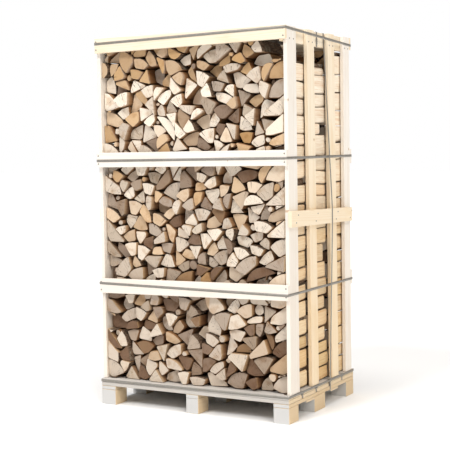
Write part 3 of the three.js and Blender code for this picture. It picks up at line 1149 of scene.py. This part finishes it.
# %% Join the logs of a tier
LOW_SHADE = 0.46  # painted shade: how much darker a log's tone is at the floor than at the top
TOP_BAND = 0.17  # depth of the band below the top whose logs are mostly painted darker as shade, and warmer
TOP_BAND_SHARE, TOP_BAND_SHADE = 0.75, 0.48
RECESS, SHORT = 38 * MM, 10 * MM  # how far logs may stop short of the open side and of the far side
DEEP, DEEP_SHARE = 50 * MM, 0.17
BESIDE = 12 * MM  # a log this near to a side fills its gaps


def lean_field(x, z, seed):
    """How much a log at (x, z) rises from front to back, per metre; none at floor and top"""
    waves = 0.6 * np.sin(5.1 * x + 3.7 * z + seed) + 0.4 * np.sin(9.3 * z - 2.9 * x + 2 * seed)
    edge = np.clip(min(z, BAY_HEIGHT - z) / 0.25, 0, 1)
    return 0.055 * waves * edge


def give(mesh, name, values):
    """Stores a number or a vector for each point of a mesh"""
    kind, field = ("FLOAT", "value") if values.ndim == 1 else ("FLOAT_VECTOR", "vector")
    mesh.attributes.new(name, kind, "POINT").data.foreach_set(field, values.ravel())


def build_tier(name, logs, rng, row_low, row_high, row, top):
    points, faces, slots, woods, tones, hues = [], [], [], [], [], []
    start = 0
    for outline, bark_edges, pith, is_stick in logs:
        middle = outline.mean(0)
        recess = RECESS * rng.random() ** 1.5
        recess += DEEP * rng.random() if rng.random() < DEEP_SHARE else 0
        short = SHORT * rng.random()
        beside = min(outline[:, 0].min(), BAY_WIDTH - outline[:, 0].max()) < BESIDE
        if is_stick or (beside and row == "back"):
            recess = short
        front, back = row_low, row_high
        full_front = row == "front" or (row == "middle" and rng.random() < 0.5)
        if full_front:
            front, back = front + recess, back - short
        else:
            front, back = front + short, back - recess
        rings, edges = log_rings(outline, bark_edges, pith, front, back, rng, full_front)
        rise = lean_field(middle[0], middle[1], LOG_ROWS.index(row) * 2.0)
        rings[..., 2] += rise * (rings[..., 1] - 0.5 * (row_low + row_high))
        count = len(edges)
        heart = np.array((pith[0], rng.uniform(-40, 40), pith[1]))
        flat = rings.reshape(-1, 3)
        woods.append(flat - heart)
        placed = flat + np.array((BAY_LOW.x, 0, BAY_LOW.z))
        placed[:, 2] = np.clip(placed[:, 2], BAY_LOW.z, top)
        points.append(placed)
        shade = LOW_SHADE * (1 - middle[1] / BAY_HEIGHT)
        # painted shade: most logs in the top band are darkened as if shaded by the top boards; their
        # hue is also warmer
        shaded_warm_top = middle[1] > BAY_HEIGHT - TOP_BAND and rng.random() < TOP_BAND_SHARE
        tone = (rng.beta(1.3, 0.64) + 0.07) * (TOP_BAND_SHADE if shaded_warm_top else 1.0) - shade
        if shaded_warm_top:
            hue = rng.uniform(0.8, 1.0)
        else:
            hue = rng.random() * (0.80 + 0.24 * middle[1] / BAY_HEIGHT)
        tones.append(np.full(len(flat), tone))
        hues.append(np.full(len(flat), hue))
        for k in range(len(STATIONS) - 1):
            for i in range(count):
                j = (i + 1) % count
                a, b = start + k * count, start + (k + 1) * count
                faces.append((a + i, b + i, b + j, a + j))
                slots.append(BARK if edges[i] else SPLIT_FACE)
        last = start + (len(STATIONS) - 1) * count
        faces.append(tuple(range(start, start + count)))
        faces.append(tuple(range(last + count - 1, last - 1, -1)))
        slots += [END_GRAIN, END_GRAIN]
        start += len(flat)
    mesh = bpy.data.meshes.new(name)
    mesh.from_pydata(np.vstack(points).tolist(), [], faces)
    for material in LOG_MATERIALS:
        mesh.materials.append(material)
    mesh.polygons.foreach_set("material_index", slots)
    give(mesh, "wood", np.vstack(woods))
    give(mesh, "tone", np.concatenate(tones))
    give(mesh, "hue", np.concatenate(hues))
    mesh.polygons.foreach_set("use_smooth", [True] * len(faces))
    mesh.set_sharp_from_angle(angle=math.radians(38))
    return add_object(name, mesh)


# %% Build the nine tiers
rng_logs = np.random.default_rng(21)
tier_tops = [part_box(f"logs_{tier}_front")[1].z - BAY_LOW.z for tier in LOG_TIERS]


def mirrored(wall):
    """The same wall seen from behind"""
    flipped = []
    for outline, bark_edges, pith, is_stick in wall:
        turned = outline[::-1] * (-1, 1) + (BAY_WIDTH, 0)
        bark_turned = list(bark_edges[-2::-1]) + [bark_edges[-1]]
        flipped.append((turned, bark_turned, pith * (-1, 1) + (BAY_WIDTH, 0), is_stick))
    return flipped


walls = {"front": front_wall, "middle": mirrored(back_wall), "back": back_wall}
log_count = 0
for row in LOG_ROWS:
    levels = [sum(log[0][:, 1].mean() > top for top in tier_tops[:2]) for log in walls[row]]
    for level, tier in enumerate(LOG_TIERS):
        node = f"logs_{tier}_{row}"
        low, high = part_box(node)
        chosen = [log for log, at in zip(walls[row], levels) if at == level]
        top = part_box(f"logs_top_{row}")[1].z
        piece = build_tier(f"split_{node}", chosen, rng_logs, low.y, high.y, row, top)
        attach(piece, "root")
        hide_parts(node)
        log_count += len(chosen)
        triangles = sum(len(face.vertices) - 2 for face in piece.data.polygons)
        print(piece.name, len(chosen), "logs,", triangles, "triangles")
print("logs in all:", log_count)

# %% [markdown]
# ## Strapping
#
# The crate is bound with thin steel strap, drawn so tight that it bites into the boards' edges. Each
# strap follows a closed path, so a tree sweeps a flat section along it: the path's corners are
# rounded by a small radius first. The corner points come from the construction model.

# %% Strap material and tree
def strap_steel():
    material, g = new_finish("strap steel")
    place = g.node("ShaderNodeTexCoord").output("Object")
    scale = g.noise(place, 60.0, 4.0, 0.65)
    fine = g.noise(place, 900.0, 2.0, 0.6)
    soil = g.noise(place, 9.0, 3.0, 0.6).fade(0.55, 0.75) * 0.5
    tint = g.blend(soil, g.blend(scale, "75716B", "A39E96"), "8A7A66")
    return dressed(material, g, tint, scale * 0.25 + 0.35, fine, 0.3, 0.2 * MM,
                   metallic=0.45 - scale * 0.3)


def strap_tree():
    g, given = new_tree("steel strap", [
        ("Path", "Geometry"), ("Across", "Float"), ("Outwards", "Float"),
        ("Corner Radius", "Float"), ("Material", "Material")])
    path = g.node("GeometryNodeMeshToCurve", None, {0: given["Path"]})
    path = g.node("GeometryNodeFilletCurve", {"mode": "POLY"}, {
        "Curve": path, "Count": 4, "Radius": given["Corner Radius"]})
    section = g.node("GeometryNodeCurvePrimitiveQuadrilateral", None, {
        "Width": given["Across"], "Height": given["Outwards"]})
    swept = g.node("GeometryNodeCurveToMesh", None, {"Curve": path, "Profile Curve": section})
    return close_tree(g, swept, given["Material"])


STRAP_STEEL = strap_steel()
STEEL_STRAP = strap_tree()
print("strap tree:", len(STEEL_STRAP.nodes), "nodes")


# %% Sweep the straps
STRAP_WIDTH = 13 * MM
STRAP_THICKNESS = 0.6 * MM
STRAP_BEND = 2.5 * MM
SAME_CORNER = 12 * MM  # points nearer than this belong to one corner
LEVEL_BANDS = ("strap_top", "strap_upper", "strap_lower", "strap_base")
UPRIGHT_BANDS = ("strap_over_top", "strap_tie")


def corners_round(node, plane):
    """The corner points of a closed strap's centre line, in order round it"""
    points = np.unique(np.round(points_of(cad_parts[node]), 6), axis=0)
    centre = (points.min(0) + points.max(0)) / 2
    groups = []
    for point in points:
        for group in groups:
            if np.linalg.norm(np.delete(group[0] - point, plane)) < SAME_CORNER:
                group.append(point)
                break
        else:
            groups.append([point])
    middles = np.array([np.mean(group, 0) for group in groups])
    u, v = [axis for axis in range(3) if axis != plane]
    order = np.argsort(np.arctan2(middles[:, v] - centre[v], middles[:, u] - centre[u]))
    return middles[order]


def sweep_strap(node, plane):
    corners = corners_round(node, plane)
    path = bpy.data.meshes.new("strap path")
    count = len(corners)
    path.from_pydata(corners.tolist(), [(i, (i + 1) % count) for i in range(count)], [])
    level = plane == 2
    strap = run_tree(STEEL_STRAP, f"{node}_steel", {
        "Across": STRAP_THICKNESS if level else STRAP_WIDTH,
        "Outwards": STRAP_WIDTH if level else STRAP_THICKNESS,
        "Corner Radius": STRAP_BEND, "Material": STRAP_STEEL}, source=path)
    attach(strap, "root")
    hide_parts(node)
    print(strap.name, count, "corners, size", np.ptp(points_of(strap), axis=0).round(4))


for node in LEVEL_BANDS:
    sweep_strap(node, 2)
for node in UPRIGHT_BANDS:
    sweep_strap(node, 1)

# %% [markdown]
# ## Nails and seals
#
# Each rail is nailed through its ends into the posts, and each side board to the posts and slats
# that it crosses, with two nails at a time. Each strap but the one over the top is closed by a steel
# sleeve that is crimped over its two ends. Both are small shapes set on points, so a tree places
# them: a point carries the direction that its piece faces, and the direction along it.

# %% Trees for nails and seals
def placed(graph, points, shape):
    """Sets the shape on each point, its z axis as the point faces, its x axis as the point runs"""
    def turned(axis, name, rotation=None):
        inputs = {"Vector": graph.node("GeometryNodeInputNamedAttribute", {
            "data_type": "FLOAT_VECTOR"}, {"Name": name})}
        if rotation is not None:
            inputs["Rotation"] = rotation
        settings = {"axis": axis, "pivot_axis": "AUTO" if rotation is None else "Z"}
        return graph.node("FunctionNodeAlignRotationToVector", settings, inputs)

    rotation = turned("X", "along", turned("Z", "facing"))
    return graph.node("GeometryNodeInstanceOnPoints", None, {
        "Points": points, "Instance": shape, "Rotation": rotation})


def nail_tree():
    g, given = new_tree("nail heads", [
        ("Points", "Geometry"), ("Radius", "Float"), ("Height", "Float"),
        ("Material", "Material")])
    head = g.node("GeometryNodeMeshCylinder", {"fill_type": "NGON"}, {
        "Vertices": 10, "Radius": given["Radius"], "Depth": given["Height"]})
    return close_tree(g, placed(g, given["Points"], head), given["Material"])


def seal_tree():
    g, given = new_tree("strap seals", [
        ("Points", "Geometry"), ("Size", "Vector"), ("Crimp", "Float"), ("Material", "Material")])
    sleeve = g.node("GeometryNodeMeshCube", None, {
        "Size": (1, 1, 1), "Vertices X": 15, "Vertices Y": 4, "Vertices Z": 2})
    x, y, z = g.split(g.node("GeometryNodeInputPosition"))
    # Two crimps squeeze the sleeve from its long edges.
    crimp = ((x * 4.0 * math.pi).apply("COSINE") * -0.5 + 0.5) ** 4.0 * given["Crimp"]
    squeezed = g.join(x, y * (1 - crimp), z)
    sleeve = g.node("GeometryNodeSetPosition", None, {
        "Geometry": sleeve, "Position": g.vector("MULTIPLY", squeezed, given["Size"])})
    return close_tree(g, placed(g, given["Points"], sleeve), given["Material"])


NAIL_HEADS = nail_tree()
STRAP_SEALS = seal_tree()
print("nail tree:", len(NAIL_HEADS.nodes), "nodes, seal tree:", len(STRAP_SEALS.nodes), "nodes")


# %% Nail the boards
NAIL_RADIUS = 4 * MM
NAIL_HEIGHT = 2.2 * MM
NAIL_PROUD = 0.5 * MM
NAIL_SPREAD = 0.27  # of a rail's height, either side of its middle
MIDDLE_LEVEL, TOP_LEVEL = 1.03, 1.937  # heights of the nails in the sides


def points_mesh(name, spots):
    """A mesh of loose points. Each spot is a place, the way it faces, and the way it runs"""
    mesh = bpy.data.meshes.new(name)
    mesh.from_pydata([tuple(place) for place, _, _ in spots], [], [])
    for label, column in (("facing", 1), ("along", 2)):
        give(mesh, label, np.array([spot[column] for spot in spots], dtype=float))
    return mesh


def nail_pair(middle, step, facing):
    """Two nails either side of a place, their heads a little proud of the face"""
    seat = np.array(facing) * (NAIL_PROUD - NAIL_HEIGHT / 2)
    return [(np.array(middle) + side * np.array(step) + seat, facing, step) for side in (-1, 1)]


nails = []
post_low, post_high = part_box("post_front_right")
post_middle = (post_low.x + post_high.x) / 2
for node in ("top_board", "upper_rail", "lower_rail"):
    for face, facing in (("front", (0, -1, 0)), ("back", (0, 1, 0))):
        corners, low, high = corners_of(f"{node}_{face}", 0, 2)
        y = low[1] if face == "front" else high[1]
        for side, foot, top in ((-1, corners[0], corners[1]), (1, corners[3], corners[2])):
            step = (0, 0, NAIL_SPREAD * (top[2] - foot[2]))
            nails += nail_pair((side * post_middle, y, (foot[2] + top[2]) / 2), step, facing)
uprights = ("post_front", "slat_front", "slat_back", "post_back")
for side, sign in (("right", 1), ("left", -1)):
    facing = (sign, 0, 0)
    corners, low, high = corners_of(f"side_middle_board_{side}", 1, 2)
    board_outside = high[0] if sign > 0 else low[0]
    for node in uprights:
        upright, foot, top = corners_of(f"{node}_{side}", 2, 1)
        centre = np.mean(upright[:2], 0)[1], np.mean(upright[2:], 0)[1]
        y = centre[0] + (centre[1] - centre[0]) * (MIDDLE_LEVEL - foot[2]) / (top[2] - foot[2])
        if low[1] < y < high[1]:
            ends = [(corners[i][2] + corners[j][2]) / 2 for i, j in ((0, 1), (3, 2))]
            z = np.interp(y, (corners[0][1], corners[3][1]), ends)
            nails += nail_pair((board_outside, y, z), (0, 0.012, 0.019), facing)
        outside = top[0] if sign > 0 else foot[0]
        nails += nail_pair((outside, centre[1], TOP_LEVEL), (0, 0.022, 0), facing)

nail_sizes = {"Radius": NAIL_RADIUS, "Height": NAIL_HEIGHT, "Material": STRAP_STEEL}
nail_heads = run_tree(NAIL_HEADS, "nail_heads", nail_sizes, source=points_mesh("nails", nails))
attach(nail_heads, "root")
print("nails:", len(nails), "heads,", len(nail_heads.data.polygons), "faces")

# %% Close the straps
SEAL_SIZE = (30 * MM, 17 * MM, 2 * MM)
SEAL_SPOTS = {"strap_top": 0.10, "strap_upper": -0.22, "strap_lower": 0.24, "strap_base": -0.20}
SEAL_CRIMP = 0.22
TIE_SEAL = 30 * MM  # height of its seal above the tie's foot


def strap_level(node, side, y):
    """Height of a level strap's middle at y on one side of the crate, and how far out it lies"""
    points = points_of(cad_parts[node])
    points = points[points[:, 0] * side > 0]
    front, back = points[points[:, 1] < 0], points[points[:, 1] > 0]
    places, heights = ((front[:, k].mean(), back[:, k].mean()) for k in (1, 2))
    return np.interp(y, places, heights), np.abs(points[:, 0]).max()


seals = []
for node, y in SEAL_SPOTS.items():
    z, x = strap_level(node, -1, y)
    seals.append(((-x, y, z), (-1, 0, 0), (0, 1, 0)))
tie_low, tie_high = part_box("strap_tie")
tie_y = (tie_low.y + tie_high.y) / 2
seals.append(((tie_high.x, tie_y, tie_low.z + TIE_SEAL), (1, 0, 0), (0, 0, 1)))
seal_sizes = {"Size": SEAL_SIZE, "Crimp": SEAL_CRIMP, "Material": STRAP_STEEL}
strap_seals = run_tree(STRAP_SEALS, "strap_seals", seal_sizes, source=points_mesh("seals", seals))
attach(strap_seals, "root")
print("seals:", len(seals), "with", len(strap_seals.data.polygons), "faces")
